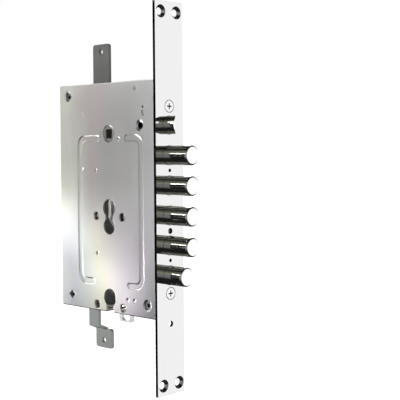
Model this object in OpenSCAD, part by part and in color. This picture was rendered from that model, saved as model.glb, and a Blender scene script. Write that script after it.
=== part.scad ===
// Mortise lock for a security door: a cylinder lock with four round deadbolts,
// a latch, a shorter service bolt with its own cylinder, and two vertical rods.
// +X is the way the bolts throw, the visible cover faces -Y and +Z is up.
// The origin is on the axis of the main cylinder, midway through the case.

/* [Forend] */
// Length of the forend plate
forend_length = 366; // [352:1:420]
// Width of the forend plate
forend_width = 35; // [34:0.5:42]
// Thickness of the forend plate
forend_thickness = 3; // [2.5:0.25:4]
// Height of the forend's top edge above the main cylinder
forend_above = 193; // [186:1:206]
// Distance from the main cylinder to the forend's outer face
backset = 67; // [66:0.5:80]
// Spacing across the forend of the door fixing holes
fixing_spacing = 20; // [16:0.5:20]
// Distance of the door fixing holes from the forend's ends
fixing_margin = 9.5; // [8:0.5:16]
// Diameter of the door fixing holes
fixing_hole_d = 6.5; // [4.5:0.1:7]
// Diameter of the countersinks
countersink_d = 12; // [10:0.5:13]

/* [Case] */
// Height of the case
case_height = 222; // [218:1:236]
// Height of the case's top edge above the main cylinder
case_above = 121; // [119:0.5:126]
// Depth of the case behind the forend
case_depth = 138; // [133:1:160]
// Thickness of the case over both faces
case_thickness = 34; // [33.5:0.5:38]
// Thickness of the rear casing's sheet
shell_sheet = 2; // [1.5:0.25:2.25]
// Thickness of the cover's sheet
cover_sheet = 1.5; // [1:0.25:2]
// Radius of the case's two rear corners
case_corner_r = 2; // [1:0.5:4]

/* [Cover grooves] */
// Width of the pressed groove
bead_width = 7; // [4:0.5:7]
// Depth of the pressed groove
bead_height = 0.6; // [0.5:0.1:1.2]
// Distance of the groove's left side behind the main cylinder
bead_left = 44; // [40:1:48]
// Distance of the groove's right side in front of the main cylinder
bead_right = 45.5; // [40:0.5:50]
// Height of the groove's top run above the main cylinder
bead_top = 67.5; // [64:0.5:74]
// Depth of the groove's bottom run under the main cylinder
bead_bottom = 73; // [66:1:78]
// Radius of the groove's corners
bead_corner_r = 8; // [5:0.5:14]

/* [Cylinders] */
// Diameter of the round part of the cylinder openings
cylinder_round_d = 17.5; // [17:0.1:18]
// Width of the slot under the round part
cylinder_slot = 10.6; // [10:0.1:11]
// Height of the main cylinder's whole opening
cylinder_height = 34.25; // [33.5:0.25:35]
// Diameter of the lower round part of that opening
lower_round_d = 16; // [14:0.5:17]
// Distance of the service cylinder under the main one
service_drop = 87; // [86.5:0.5:90]
// Distance of the cylinder's fixing screw under its axis
cylinder_screw_drop = 19.5; // [18:0.5:20]
// Diameter of the cylinder's fixing screw hole
cylinder_screw_d = 5.5; // [5:0.1:6]
// Spacing of the escutcheon screw holes
escutcheon_spacing = 38; // [37.5:0.5:39]
// Distance of the escutcheon screw holes under a cylinder's axis
escutcheon_drop = 8.2; // [7:0.1:9]
// Diameter of the escutcheon screw holes
escutcheon_hole_d = 7; // [6:0.1:7.5]

/* [Deadbolts] */
// Diameter of the bolts
bolt_d = 18; // [16:0.5:18]
// Pitch of the bolts
bolt_pitch = 28; // [27.5:0.5:28.5]
// Height of the top deadbolt above the main cylinder
first_bolt = 51; // [50:0.5:52]
// Throw of the four deadbolts
bolt_throw = 30; // [24:0.5:30]
// Length of a bolt that stays inside when thrown
bolt_tail = 14; // [12:0.5:14]
// Throw of the service bolt
service_throw = 22; // [16:0.5:22]
// Chamfer at the end of a bolt
bolt_chamfer = 1.2; // [0.5:0.1:2]

/* [Latch and follower] */
// Diameter of the latch
latch_d = 17; // [15:0.5:17]
// Distance that the latch stands out of the forend
latch_reach = 14; // [12:0.5:15]
// Length of the slit in the latch's end
latch_slit = 8; // [5:0.5:10]
// Length of the latch that stays inside at rest
latch_tail_length = 22; // [20:0.5:23]
// Height of the handle follower above the main cylinder
follower_height = 72; // [71.5:0.5:73]
// Side of the follower's square hole
spindle_square = 8; // [7:0.5:9]
// Diameter of the follower's journals
follower_journal_d = 15; // [13:0.1:15]
// Diameter of the follower's body
follower_body_d = 22; // [20:0.5:22]
// Radius at which the follower's arm drives the latch
follower_arm = 20; // [19.5:0.25:20.5]
// Turn of the follower in degrees
follower_turn = 35; // [30:1:35]

/* [Rods] */
// Width of the vertical rods
rod_width = 24; // [20:1:24]
// Thickness of the vertical rods
rod_thickness = 3; // [2.5:0.25:3.25]
// Distance of the rods' centre line behind the main cylinder
rod_back = 28; // [28:0.5:30]
// Length of the top rod that stands out when thrown
top_rod_out = 40; // [30:1:60]
// Length of the bottom rod that stands out when thrown
bottom_rod_out = 41; // [38:1:60]
// Travel of the vertical rods
rod_travel = 20; // [14:0.5:20]
// Diameter of the holes in the rods' ends
rod_hole_d = 5.5; // [5:0.1:7]
// Distance of these holes from the rods' ends
rod_hole_margin = 7.5; // [6:0.5:10]
// Step of the bottom rod towards the middle of the door
rod_joggle = 9; // [8:0.25:9.5]
// Width of the bottom rod inside the case
bottom_strip = 15; // [13:0.5:15]

/* [Gears] */
// Module of the pinions and racks
gear_module = 1.2; // [1.1:0.05:1.25]
// Teeth of the pinions
pinion_teeth = 12; // [11:1:12]
// Diameter of the notched wheels that the cylinders' cams turn
wheel_d = 26; // [24:0.5:26]
// Notches of these wheels
wheel_notches = 6; // [5:1:8]
// Height of a notched wheel's arbor above its cylinder
wheel_rise = 24.5; // [24.5:0.25:25.5]

/* [Hidden] */

$fn = 48;
eps = 0.01;
big = 400;

// Clearances: between a sliding shaft and its hole, between faces that slide past each
// other, round a stud in its slot, between a journal and its bore, in the teeth, and
// between a plate and the heads that keep it in place
slide_gap = 0.3;
face_gap = 0.4;
slot_gap = 0.2;
journal_gap = 0.08;
tooth_gap = 0.12;
head_gap = 0.2;

// The planes of the case
forend_back = backset - forend_thickness;
case_rear = forend_back - case_depth;
case_top = case_above;
case_bottom = case_above - case_height;
cover_face = -case_thickness / 2;
cover_inner = cover_face + cover_sheet;
shell_face = case_thickness / 2;
shell_inner = shell_face - shell_sheet;
guide_thickness = 3;
guide_back = forend_back - guide_thickness;

// The layers of the mechanism across the case
carriage_front = 7;
carriage_t = 3;
carriage_back = carriage_front + carriage_t;
rack_front = 2.2;
service_back = carriage_front - face_gap;
pinion_front = rack_front + 0.2;
pinion_back = service_back - 0.1;
wheel_front = -4.7;
wheel_back = 0;
arbor_r = 3;
stud_r = 3;
collar_width = 1.8;

// Heights of the bolts and of the other axes
bolt_z = [for (i = [0:3]) first_bolt - i * bolt_pitch];
service_z = first_bolt - 4 * bolt_pitch;
latch_z = first_bolt + bolt_pitch;
wheel_z = wheel_rise;
service_wheel_z = wheel_rise - service_drop;
bolt_inner = forend_back + forend_thickness - bolt_tail;
tail_edge = guide_back - 0.4;
rivet_x = (bolt_inner + tail_edge) / 2;

// The openings of the cylinders
lower_round_z = cylinder_round_d / 2 + lower_round_d / 2 - cylinder_height;
opening_low = lower_round_z - lower_round_d / 2;
mouth_flare = 1;

// The screws, blocks and posts
screw_shank_d = 6;
screw_length = 14;
screw_head_gap = 0.1;
screw_to_bolt = 9;
block_half = 5.5;
block_depth = 12;
block_front = 9;
forend_screw_z = [latch_z + latch_d / 2 + screw_to_bolt, service_z - bolt_d / 2 - screw_to_bolt + 1];
case_screw_d = 4;
case_screw_head_d = 7;
case_screw_length = 10;
post_r = 5;
post_rear = 13;
post_rear_low = 16;
post_low = 12;
post_high = 11.5;
post_front = 8;
post_top_front = 22;
post_xz = [[case_rear + post_rear, case_top - post_high],
           [case_rear + post_rear_low, case_bottom + post_low],
           [guide_back - post_front, case_bottom + post_low],
           [guide_back - post_top_front, case_top - shell_sheet - post_r]];
tooling_hole_r = 1.25;
tooling_behind = 28.7;
tooling_up = 9.2;
tooling_xz = [-tooling_behind, case_bottom + tooling_up];
tooling_step = [3.2, 2.3];

// The gears
pitch_r = gear_module * pinion_teeth / 2;
pressure = 20;
rack_addendum = 0.65 * gear_module;
pinion_addendum = 0.9 * gear_module;
base_r = pitch_r * cos(pressure);
root_r = pitch_r - rack_addendum - 0.25;
tip_r = pitch_r + pinion_addendum;
tooth_pitch = PI * gear_module;
rack_z = wheel_z + pitch_r;
service_rack_z = service_wheel_z + pitch_r;
rack_ahead = 5.5;
rack_bar = 3.2;
rack_root = pinion_addendum + 0.3;
rack_top = rack_z + rack_root + rack_bar;
rack_left = -rack_ahead;
rack_right = bolt_throw + rack_ahead;
rack_rivet_r = 1;
rack_rivet_x = [rack_left + 5, rack_right - 5];

// The bolts' rivets, and the service bolt's slide under the lowest deadbolt
bolt_rivet_r = 2;
slide_to_bolt = 1.7;
slide_foot = 7;
service_slide_top = bolt_z[3] - bolt_d / 2 - slide_to_bolt;
service_stud_r = 2;
service_stud_xz = [service_throw / 2 + 4, (service_rack_z + rack_root + service_slide_top) / 2];

// The rods, their pins and the slanting slots that drive them
rod_x = -rod_back;
strip_x = rod_x - rod_width / 2 + bottom_strip / 2;
strip_y = -rod_joggle;
rod_pin_r = 3;
top_pin_z = first_bolt + bolt_d / 2;
pin_below_bolt = 24;
bottom_pin_z = bolt_z[3] - pin_below_bolt;
rod_end_margin = 8;
rod_stud_inset = 26;
rod_stud_rise = 12;
joggle_below = 17.5;
joggle_drop = 4;
joggle_slope = atan2(joggle_drop, rod_joggle);
joggle_bend = rod_thickness / 2 * (1 - sin(joggle_slope)) / cos(joggle_slope);
top_rod_end = case_top + top_rod_out;
bottom_rod_end = case_bottom - bottom_rod_out;
rod_stud_top = case_top - rod_stud_inset;
rod_stud_bottom = -service_drop + rod_stud_rise;
joggle_high = case_bottom - joggle_below;
joggle_low = joggle_high - joggle_drop;

// The carriage: its edges, its studs and its window round the main cylinder
carriage_rim = 9;
stud_below_pin = 10;
stud_below_bolt = 2;
stud_ahead = [17, 10];
stud_xz = [[stud_ahead[0], top_pin_z - stud_below_pin], [stud_ahead[1], bolt_z[3] - stud_below_bolt]];
carriage_left = rod_x - carriage_rim - 0.5;
carriage_right = tail_edge;
window_gap = 1;
window_low = opening_low - window_gap;
window_high = cylinder_round_d / 2 + window_gap;
window_left = carriage_left + carriage_rim;
notch_width = 11;
notch_rise = 14;
notch_xz = [window_left + notch_width, window_low];
tooth_width = 1.5;
tooth_rise = 7.5;
tooth_right = -cylinder_round_d / 2 - window_gap;

// The follower and the latch
latch_inner = forend_back + forend_thickness - latch_tail_length;
arm_lean = follower_turn / 2;
arm_front = -8.5;
arm_back = -3;
arm_pin_r = 2.5;
arm_half = 4.5;
body_back = 9;
hub_inset = 0.5;
square_break = 1.1;
tail_t = 4;
bracket_down = 5;
bracket_up = 4;
tail_gap = 1.2;
tail_width = 11;
tail_rim = 7;
tail_low = max(follower_height + follower_body_d / 2, latch_z + bracket_up) + tail_gap;
tail_high = tail_low + tail_width;
tail_slot_low = follower_height + follower_arm * cos(arm_lean) - arm_pin_r - 0.8;
tail_slot_high = follower_height + follower_arm + arm_pin_r + 0.8;
tail_slot_x = follower_arm * sin(arm_lean);
fork_depth = 8;
latch_pin_r = 1.5;
latch_shoulder = latch_inner - fork_depth + 1;
spring_wire = 1.1;
spring_r = 2.9;
bracket_x = follower_body_d / 2 + 2;
bracket_t = 2.5;
bracket_foot = 16;
slit_width = 1.6;
slit_rise = 2.6;
latch_nose = 2;

// A round bar along Y
module bar_y(x, z, y0, y1, r) {
  translate([x, y1, z]) rotate([90, 0, 0]) cylinder(r = r, h = y1 - y0);
}

// A round bar along X
module bar_x(y, z, x0, x1, r) {
  translate([x0, y, z]) rotate([0, 90, 0]) cylinder(r = r, h = x1 - x0);
}

// A flat plate with its outline in X and Z
module plate(y0, y1) {
  translate([0, y1, 0]) rotate([90, 0, 0]) linear_extrude(y1 - y0) children();
}

// The area swept by a circle that moves from one point to another
module slot_2d(a, b, r) {
  d = b - a;
  translate(a) circle(r);
  translate(b) circle(r);
  translate(a) rotate(atan2(d[1], d[0])) translate([0, -r]) square([norm(d), 2 * r]);
}

// A rectangle with rounded corners
module rounded_2d(x0, z0, x1, z1, r) {
  translate([x0 + r, z0]) square([x1 - x0 - 2 * r, z1 - z0]);
  translate([x0, z0 + r]) square([x1 - x0, z1 - z0 - 2 * r]);
  for (x = [x0 + r, x1 - r], z = [z0 + r, z1 - r]) translate([x, z]) circle(r);
}

// The main cylinder's opening: two round parts with a straight slot between them
module main_opening_2d() {
  circle(cylinder_round_d / 2);
  translate([0, lower_round_z]) circle(lower_round_d / 2);
  translate([-cylinder_slot / 2, lower_round_z]) square([cylinder_slot, -lower_round_z]);
}

// The service cylinder's opening, which runs out through the bottom edge and widens there
module service_opening_2d() {
  half = cylinder_slot / 2;
  translate([0, -service_drop]) circle(cylinder_round_d / 2);
  translate([-half, case_bottom - 1]) square([2 * half, -service_drop - case_bottom + 1]);
  polygon([[-half - mouth_flare, case_bottom - eps], [-half, case_bottom + 2 * mouth_flare],
           [half, case_bottom + 2 * mouth_flare], [half + mouth_flare, case_bottom - eps]]);
}

module cylinder_openings_2d() {
  main_opening_2d();
  service_opening_2d();
}

// The four escutcheon screw holes
module escutcheon_holes_2d() {
  for (s = [-1, 1], z = [0, -service_drop])
    translate([s * escutcheon_spacing / 2, z - escutcheon_drop]) circle(escutcheon_hole_d / 2);
}

// Half the angle of a pinion tooth at radius r
function inv(a) = tan(a) - a * PI / 180;
function half_angle(r) =
  90 / pinion_teeth - tooth_gap / pitch_r * 90 / PI
  + (inv(pressure) - inv(acos(min(1, base_r / max(r, base_r))))) * 180 / PI;

function polar(r, a) = [r * cos(a), r * sin(a)];

// A pinion with involute flanks, one of its gaps at the top
module pinion_2d() {
  steps = 4;
  radii = [for (i = [0:steps]) max(base_r, root_r) + (tip_r - max(base_r, root_r)) * i / steps];
  polygon([for (t = [0:pinion_teeth - 1])
    let (a = 90 + (t + 0.5) * 360 / pinion_teeth)
    each concat([polar(root_r, a - half_angle(base_r))],
                [for (r = radii) polar(r, a - half_angle(r))],
                [for (i = [steps:-1:0]) polar(radii[i], a + half_angle(radii[i]))],
                [polar(root_r, a + half_angle(base_r))])]);
}

// A rack above its pinion, teeth down, with one tooth centred on x = 0
module rack_2d(x0, x1, z, top) {
  half = tooth_pitch / 4 - tooth_gap / 4;
  low = z - rack_addendum;
  high = z + rack_root;
  first = ceil((x0 + tooth_pitch / 2) / tooth_pitch);
  last = floor((x1 - tooth_pitch / 2) / tooth_pitch);
  translate([x0, high]) square([x1 - x0, top - high]);
  for (i = [first:last])
    translate([i * tooth_pitch, 0])
      polygon([[-half - (high - z) * tan(pressure), high + eps],
               [-half + rack_addendum * tan(pressure), low],
               [half - rack_addendum * tan(pressure), low],
               [half + (high - z) * tan(pressure), high + eps]]);
}

// A wheel with round notches for a cylinder's cam, one of them at the bottom
module notched_wheel_2d() {
  difference() {
    circle(wheel_d / 2);
    for (i = [0:wheel_notches - 1])
      rotate(-90 + i * 360 / wheel_notches) translate([wheel_d / 2 + 0.6, 0]) circle(4.2);
  }
}

// Points of a tube's rings along a coil, as one closed polyhedron
function coil_point(r, turns, length, t) = [r * cos(360 * turns * t), r * sin(360 * turns * t), length * t];

module coil(r, wire, turns, length, per_turn) {
  sides = 6;
  rings = turns * per_turn;
  points = [for (i = [0:rings])
    let (c = coil_point(r, turns, length, i / rings), a = 360 * turns * i / rings)
    for (s = [0:sides - 1])
      let (b = 360 * s / sides)
      c + [wire / 2 * cos(b) * cos(a), wire / 2 * cos(b) * sin(a), wire / 2 * sin(b)]];
  walls = [for (i = [0:rings - 1], s = [0:sides - 1])
    let (a = i * sides + s, b = i * sides + (s + 1) % sides)
    each [[a, a + sides, b], [b, a + sides, b + sides]]];
  caps = [for (s = [1:sides - 2]) each [[0, s, s + 1],
    [rings * sides, rings * sides + s + 1, rings * sides + s]]];
  polyhedron(points, concat(walls, caps));
}

module forend() {
  color([0.86, 0.87, 0.88])
  difference() {
    translate([forend_back, -forend_width / 2, forend_above - forend_length])
      cube([forend_thickness, forend_width, forend_length]);
    for (z = bolt_z) bar_x(0, z, forend_back - 1, backset + 1, bolt_d / 2 + slide_gap);
    bar_x(0, service_z, forend_back - 1, backset + 1, bolt_d / 2 + slide_gap);
    bar_x(0, latch_z, forend_back - 1, backset + 1, latch_d / 2 + slide_gap);
    for (z = [forend_above - fixing_margin, forend_above - forend_length + fixing_margin],
         y = [-fixing_spacing / 2, fixing_spacing / 2])
      countersunk_hole(y, z, fixing_hole_d);
    for (z = forend_screw_z) countersunk_hole(0, z, screw_shank_d + 0.6);
    for (z = [0, -service_drop])
      bar_x(0, z - cylinder_screw_drop, forend_back - 1, backset + 1, cylinder_screw_d / 2);
    for (z = [(bolt_z[0] + bolt_z[1]) / 2, (bolt_z[3] + service_z) / 2])
      bar_x(0, z, forend_back - 1, backset + 1, 1.2);
  }
}

// A hole through the forend with a countersink in its outer face
module countersunk_hole(y, z, d) {
  bar_x(y, z, forend_back - 1, backset + 1, d / 2);
  depth = min((countersink_d - d) / 2, forend_thickness - 0.4);
  translate([backset - depth, y, z]) rotate([0, 90, 0])
    cylinder(r1 = countersink_d / 2 - depth, r2 = countersink_d / 2 + eps, h = depth + eps);
}

// The forend's own two screws, with a cross recess, and the threaded blocks that take them
module forend_screws() {
  color([0.75, 0.76, 0.78])
  for (z = forend_screw_z) {
    depth = min((countersink_d - screw_shank_d - 0.6) / 2, forend_thickness - 0.4);
    difference() {
      union() {
        translate([backset - depth, 0, z]) rotate([0, 90, 0])
          cylinder(r1 = countersink_d / 2 - depth - screw_head_gap,
                   r2 = countersink_d / 2 - screw_head_gap, h = depth);
        bar_x(0, z, backset - screw_length, backset - depth + eps, screw_shank_d / 2);
      }
      for (a = [0, 90])
        translate([backset - 1.4, 0, z]) rotate([a, 0, 0])
          translate([0, -0.6, -2.8]) cube([1.5, 1.2, 5.6]);
    }
  }
}

module forend_blocks() {
  color([0.55, 0.56, 0.58])
  for (z = forend_screw_z)
    difference() {
      translate([guide_back - block_depth, -block_front, z - block_half])
        cube([block_depth, shell_inner + block_front, 2 * block_half]);
      bar_x(0, z, guide_back - block_depth - 1, guide_back + 1, screw_shank_d / 2);
    }
}

// The thick plate behind the forend that closes the case's front and guides the bolts
module bolt_guide() {
  color([0.62, 0.63, 0.65])
  difference() {
    translate([guide_back, cover_inner, case_bottom + shell_sheet])
      cube([guide_thickness, shell_inner - cover_inner, case_height - 2 * shell_sheet]);
    for (z = bolt_z) bar_x(0, z, guide_back - 1, forend_back + 1, bolt_d / 2 + slide_gap);
    bar_x(0, service_z, guide_back - 1, forend_back + 1, bolt_d / 2 + slide_gap);
    bar_x(0, latch_z, guide_back - 1, forend_back + 1, latch_d / 2 + slide_gap);
    for (z = forend_screw_z) bar_x(0, z, guide_back - 1, forend_back + 1, screw_shank_d / 2 + 0.3);
    bar_x(0, -cylinder_screw_drop, guide_back - 1, forend_back + 1, cylinder_screw_d / 2);
  }
}

// The casing: a back sheet with folded walls at the top, the bottom and the rear
module case_shell() {
  color([0.72, 0.72, 0.7])
  difference() {
    plate(cover_inner, shell_face) case_outline_2d();
    translate([case_rear + shell_sheet, cover_inner - 1, case_bottom + shell_sheet])
      cube([case_depth, shell_inner - cover_inner + 1, case_height - 2 * shell_sheet]);
    plate(cover_inner - 1, shell_face + 1) {
      cylinder_openings_2d();
      escutcheon_holes_2d();
      translate([0, follower_height]) circle(follower_journal_d / 2 + journal_gap);
    }
    // The slots that the rods leave through, the lower one as deep as the rod's step
    translate([rod_x - rod_width / 2 - slide_gap, -rod_thickness / 2 - slide_gap, case_top - shell_sheet - 1])
      cube([rod_width + 2 * slide_gap, rod_thickness + 2 * slide_gap, shell_sheet + 2]);
    translate([rod_x - rod_width / 2 - slide_gap, strip_y - rod_thickness / 2 - slide_gap, case_bottom - 1])
      cube([rod_width + 2 * slide_gap, rod_joggle + rod_thickness + 2 * slide_gap, shell_sheet + 2]);
    // The countersunk screw holes over the posts, and two small tooling holes
    for (p = post_xz) {
      bar_y(p[0], p[1], shell_inner - 1, shell_face + 1, case_screw_d / 2 + 0.25);
      rear_cone(p, case_screw_head_d / 2 + 0.15);
    }
    for (p = [tooling_xz, tooling_xz + tooling_step])
      bar_y(p[0], p[1], shell_inner - 1, shell_face + 1, tooling_hole_r);
  }
}

// The cone of a countersunk screw in the rear face, with its wide end of radius r outside
module rear_cone(p, r) {
  depth = r - case_screw_d / 2;
  translate([p[0], shell_face - depth, p[1]]) rotate([-90, 0, 0])
    cylinder(r1 = case_screw_d / 2, r2 = r, h = depth);
}

module case_outline_2d() {
  side = case_height - 2 * case_corner_r;
  translate([case_rear + case_corner_r, case_bottom]) square([case_depth - case_corner_r, case_height]);
  translate([case_rear, case_bottom + case_corner_r]) square([case_corner_r, side]);
  for (z = [case_bottom + case_corner_r, case_top - case_corner_r])
    translate([case_rear + case_corner_r, z]) circle(case_corner_r);
}

// The cross-section of a groove in the cover, and its straight runs, corners and round ends
bead_flank = 1.2;
module bead_section() {
  low = bead_width / 2;
  polygon([[-low, -0.2], [-low, 0], [bead_flank - low, bead_height], [low - bead_flank, bead_height],
           [low, 0], [low, -0.2]]);
}
module bead_run(length) {
  rotate([90, 0, 90]) linear_extrude(length) bead_section();
}
module bead_corner() {
  rotate_extrude(angle = 90) translate([bead_corner_r, 0]) bead_section();
}
module bead_end() {
  rotate_extrude() intersection() {
    bead_section();
    translate([0, -1]) square([bead_width, bead_height + 2]);
  }
}

// One C-shaped groove, drawn flat: a tall side at x = 0 and two runs towards +x
module bead_c(top_length, bottom_length) {
  top = bead_top;
  bottom = -bead_bottom;
  translate([0, bottom + bead_corner_r, 0]) rotate([0, 0, 90]) bead_run(top - bottom - 2 * bead_corner_r);
  translate([bead_corner_r, top - bead_corner_r, 0]) rotate([0, 0, 90]) bead_corner();
  translate([bead_corner_r, bottom + bead_corner_r, 0]) rotate([0, 0, 180]) bead_corner();
  for (run = [[top, top_length], [bottom, bottom_length]]) {
    translate([bead_corner_r, run[0], 0]) bead_run(run[1] - bead_corner_r);
    translate([run[1], run[0], 0]) bead_end();
  }
}

// Both grooves of the cover, pressed inwards from the plane y, and the gaps between their ends
bead_top_gap = [-13.5, 22.4];
bead_bottom_gap = [-22, 25];
module beads(y) {
  end = bead_width / 2;
  translate([0, y, 0]) mirror([0, 1, 0]) rotate([90, 0, 0]) {
    translate([-bead_left, 0, 0])
      bead_c(bead_left + bead_top_gap[0] - end, bead_left + bead_bottom_gap[0] - end);
    translate([bead_right, 0, 0]) mirror([1, 0, 0])
      bead_c(bead_right - bead_top_gap[1] - end, bead_right - bead_bottom_gap[1] - end);
  }
}

// The pressed dimples on the cover, as X and Z, and the sizes of its other marks
dimple_xz = [[-40, 91], [-40, 37], [-19.5, 36], [-18, -45], [14.3, 66.5], [25.6, -86.6], [35, -86.3]];
dimple_r = 3.6;
dimple_depth = 0.75;
latch_dish_d = 11;
latch_dish_hole_d = 6.6;
latch_dish_depth = 1.2;
cover_hole_r = [4.2, 4.6, 4.2];
cover_hole_sides = [48, 4, 48];
rim_depth = 0.7;
rim_width = 1.5;
screw_rim_width = 0.9;
mark_hole_r = 1.2;
mark_r = 1.7;
mark_length = 5;
mark_turn = 145;
mark_drop = 6;

// The shallow rim that is dished round a hole through the cover
module cover_rim(x, z, r, width) {
  translate([x, cover_face - eps, z]) rotate([-90, 0, 0])
    cylinder(r1 = r + width, r2 = r, h = rim_depth);
}

module cover_plate() {
  color([0.78, 0.78, 0.76])
  difference() {
    union() {
      plate(cover_face, cover_inner) case_outline_2d();
      beads(cover_inner - eps);
    }
    beads(cover_face - eps);
    plate(cover_face - 1, cover_inner + 1) {
      cylinder_openings_2d();
      escutcheon_holes_2d();
      translate([0, follower_height]) circle(follower_journal_d / 2 + journal_gap);
      for (i = [0:2]) translate(post_xz[i]) circle(cover_hole_r[i], $fn = cover_hole_sides[i]);
      translate([latch_inner - 0.5, latch_z]) circle(latch_dish_hole_d / 2);
      translate([latch_inner + 4, forend_screw_z[0]]) circle(mark_hole_r);
    }
    for (i = [0, 2]) cover_rim(post_xz[i][0], post_xz[i][1], cover_hole_r[i], rim_width);
    cover_rim(0, follower_height, follower_journal_d / 2 + journal_gap, screw_rim_width);
    for (x = [-1, 1] * escutcheon_spacing / 2, z = [0, -service_drop] - [1, 1] * escutcheon_drop)
      cover_rim(x, z, escutcheon_hole_d / 2, screw_rim_width);
    // The dish round the latch's access hole, and a short slanting groove over it
    translate([latch_inner - 0.5, cover_face - eps, latch_z]) rotate([-90, 0, 0])
      cylinder(r1 = latch_dish_d / 2, r2 = latch_dish_hole_d / 2, h = latch_dish_depth);
    translate([latch_inner + 4, cover_face - 0.8, forend_screw_z[0] - mark_drop]) rotate([0, mark_turn, 0])
      cylinder(r = mark_r, h = mark_length, center = true);
    for (d = concat(dimple_xz, [post_xz[3]]))
      translate([d[0], cover_face + dimple_depth - dimple_r, d[1]]) sphere(r = dimple_r);
  }
}

// The hardened plate behind the cover that keeps a drill off the mechanism
drill_plate_t = 2.5;
drill_margin = 4.5;
drill_gap = 3;
module drill_plate() {
  half = escutcheon_spacing / 2 + escutcheon_hole_d / 2 + drill_margin;
  inner = cylinder_round_d / 2 + drill_gap;
  color([0.4, 0.4, 0.42])
  plate(cover_inner, cover_inner + drill_plate_t)
    difference() {
      rounded_2d(-half, opening_low - drill_gap - drill_margin, half, inner + drill_margin, 3);
      rounded_2d(-inner, opening_low - drill_gap, inner, inner, 6);
      escutcheon_holes_2d();
    }
}

// The posts between the two sheets, with threads for the case's screws
module case_posts() {
  color([0.66, 0.66, 0.68])
  for (p = post_xz)
    difference() {
      bar_y(p[0], p[1], cover_inner, shell_inner, post_r);
      bar_y(p[0], p[1], cover_inner - 1, shell_inner + 1, case_screw_d / 2);
    }
}

module case_screws() {
  color([0.7, 0.7, 0.72])
  for (p = post_xz)
    difference() {
      union() {
        bar_y(p[0], p[1], shell_face - case_screw_length, shell_face, case_screw_d / 2);
        rear_cone(p, case_screw_head_d / 2);
      }
      translate([p[0] - case_screw_head_d / 2, shell_face - 0.8, p[1] - 0.5]) cube([case_screw_head_d, 1, 1]);
    }
}

// The cradle under the case that the service cylinder's web hangs in: a flat U of sheet
cradle_y = 3.2;
cradle_t = 3;
cradle_half = 9.5;
cradle_gap = 0.4;
cradle_lip = 6;
cradle_bottom = 1.5;
web_drop = 24.5;
module cylinder_cradle() {
  color([0.8, 0.8, 0.78])
  plate(cradle_y, cradle_y + cradle_t)
    difference() {
      low = min(-service_drop - web_drop - cradle_gap, case_bottom - cradle_lip);
      half = cylinder_slot / 2 + cradle_gap;
      union() {
        rounded_2d(-cradle_half, low - cradle_bottom, cradle_half, case_bottom, 2.5);
        translate([-cradle_half, case_bottom - cradle_lip / 2]) square([2 * cradle_half, cradle_lip / 2]);
      }
      translate([-half, low + 3]) square([2 * half, big]);
      rounded_2d(-half, low, half, low + cradle_lip, 3 - eps);
    }
}

// A bolt along X from its flat tail to its chamfered end
module round_bolt(z, reach, flat_y) {
  difference() {
    union() {
      bar_x(0, z, bolt_inner, backset + reach - bolt_chamfer, bolt_d / 2);
      translate([backset + reach - bolt_chamfer - eps, 0, z]) rotate([0, 90, 0])
        cylinder(r1 = bolt_d / 2, r2 = bolt_d / 2 - bolt_chamfer, h = bolt_chamfer + eps);
    }
    translate([bolt_inner - 1, flat_y, z - bolt_d])
      cube([tail_edge + 0.2 - bolt_inner + 1, bolt_d, 2 * bolt_d]);
    bar_y(rivet_x, z, -bolt_d, bolt_d, bolt_rivet_r);
  }
}

module deadbolt(i) {
  color([0.8, 0.81, 0.83]) round_bolt(bolt_z[i], bolt_throw, carriage_front);
}
module deadbolt_1() { deadbolt(0); }
module deadbolt_2() { deadbolt(1); }
module deadbolt_3() { deadbolt(2); }
module deadbolt_4() { deadbolt(3); }

// The rivets that hold the bolts to their carriage
rivet_front = 2.2 - bolt_d / 2;
module bolt_rivets() {
  color([0.6, 0.6, 0.6])
  for (z = bolt_z) {
    bar_y(rivet_x, z, rivet_front, carriage_back + eps, bolt_rivet_r);
    bar_y(rivet_x, z, carriage_back, carriage_back + 1.2, bolt_rivet_r + 1.2);
  }
}
module service_rivet() {
  color([0.6, 0.6, 0.6]) bar_y(rivet_x, service_z, rivet_front, service_back, bolt_rivet_r);
}

// The window in the carriage, clear of the cylinder and its screws over the whole throw,
// with a slanting lower corner and a tooth beside it
module carriage_window_2d() {
  polygon([[window_left, window_high], [window_left, window_low + notch_rise], notch_xz,
           [tooth_right - tooth_width, window_low + tooth_rise], [tooth_right, window_low + tooth_rise],
           [tooth_right, window_low], [bolt_inner, window_low], [bolt_inner, window_high]]);
}

// The plate that carries the four deadbolts and drives the rods by its slanting slots
module bolt_carriage() {
  color([0.58, 0.58, 0.6])
  difference() {
    plate(carriage_front, carriage_back)
      difference() {
        carriage_outline_2d();
        carriage_window_2d();
        slot_2d([rod_x, top_pin_z], [rod_x + bolt_throw, top_pin_z - rod_travel], rod_pin_r + slot_gap);
        slot_2d([strip_x, bottom_pin_z], [strip_x + bolt_throw, bottom_pin_z + rod_travel],
                rod_pin_r + slot_gap);
        slot_2d([0, wheel_z], [bolt_throw, wheel_z], arbor_r + slot_gap);
        for (p = stud_xz) slot_2d(p, p + [bolt_throw, 0], stud_r + slot_gap);
        for (z = bolt_z) translate([rivet_x, z]) circle(bolt_rivet_r);
        for (x = rack_rivet_x) translate([x, rack_top - rack_bar / 2]) circle(rack_rivet_r);
      }
  }
}

// The carriage's outline, stepped clear of the follower above and the service wheel below
module carriage_outline_2d() {
  top = follower_height - follower_body_d / 2 - 0.6;
  ear = top_pin_z + rod_end_margin;
  low = bottom_pin_z - carriage_rim;
  polygon([[carriage_left, low], [strip_x + 10, low],
           [-arbor_r - 3, bottom_pin_z + 2], [10, bottom_pin_z + 12],
           [carriage_right, bottom_pin_z + 12], [carriage_right, top],
           [-follower_body_d / 2 - 6, top], [-follower_body_d / 2 - 9, ear], [carriage_left, ear]]);
}

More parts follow.
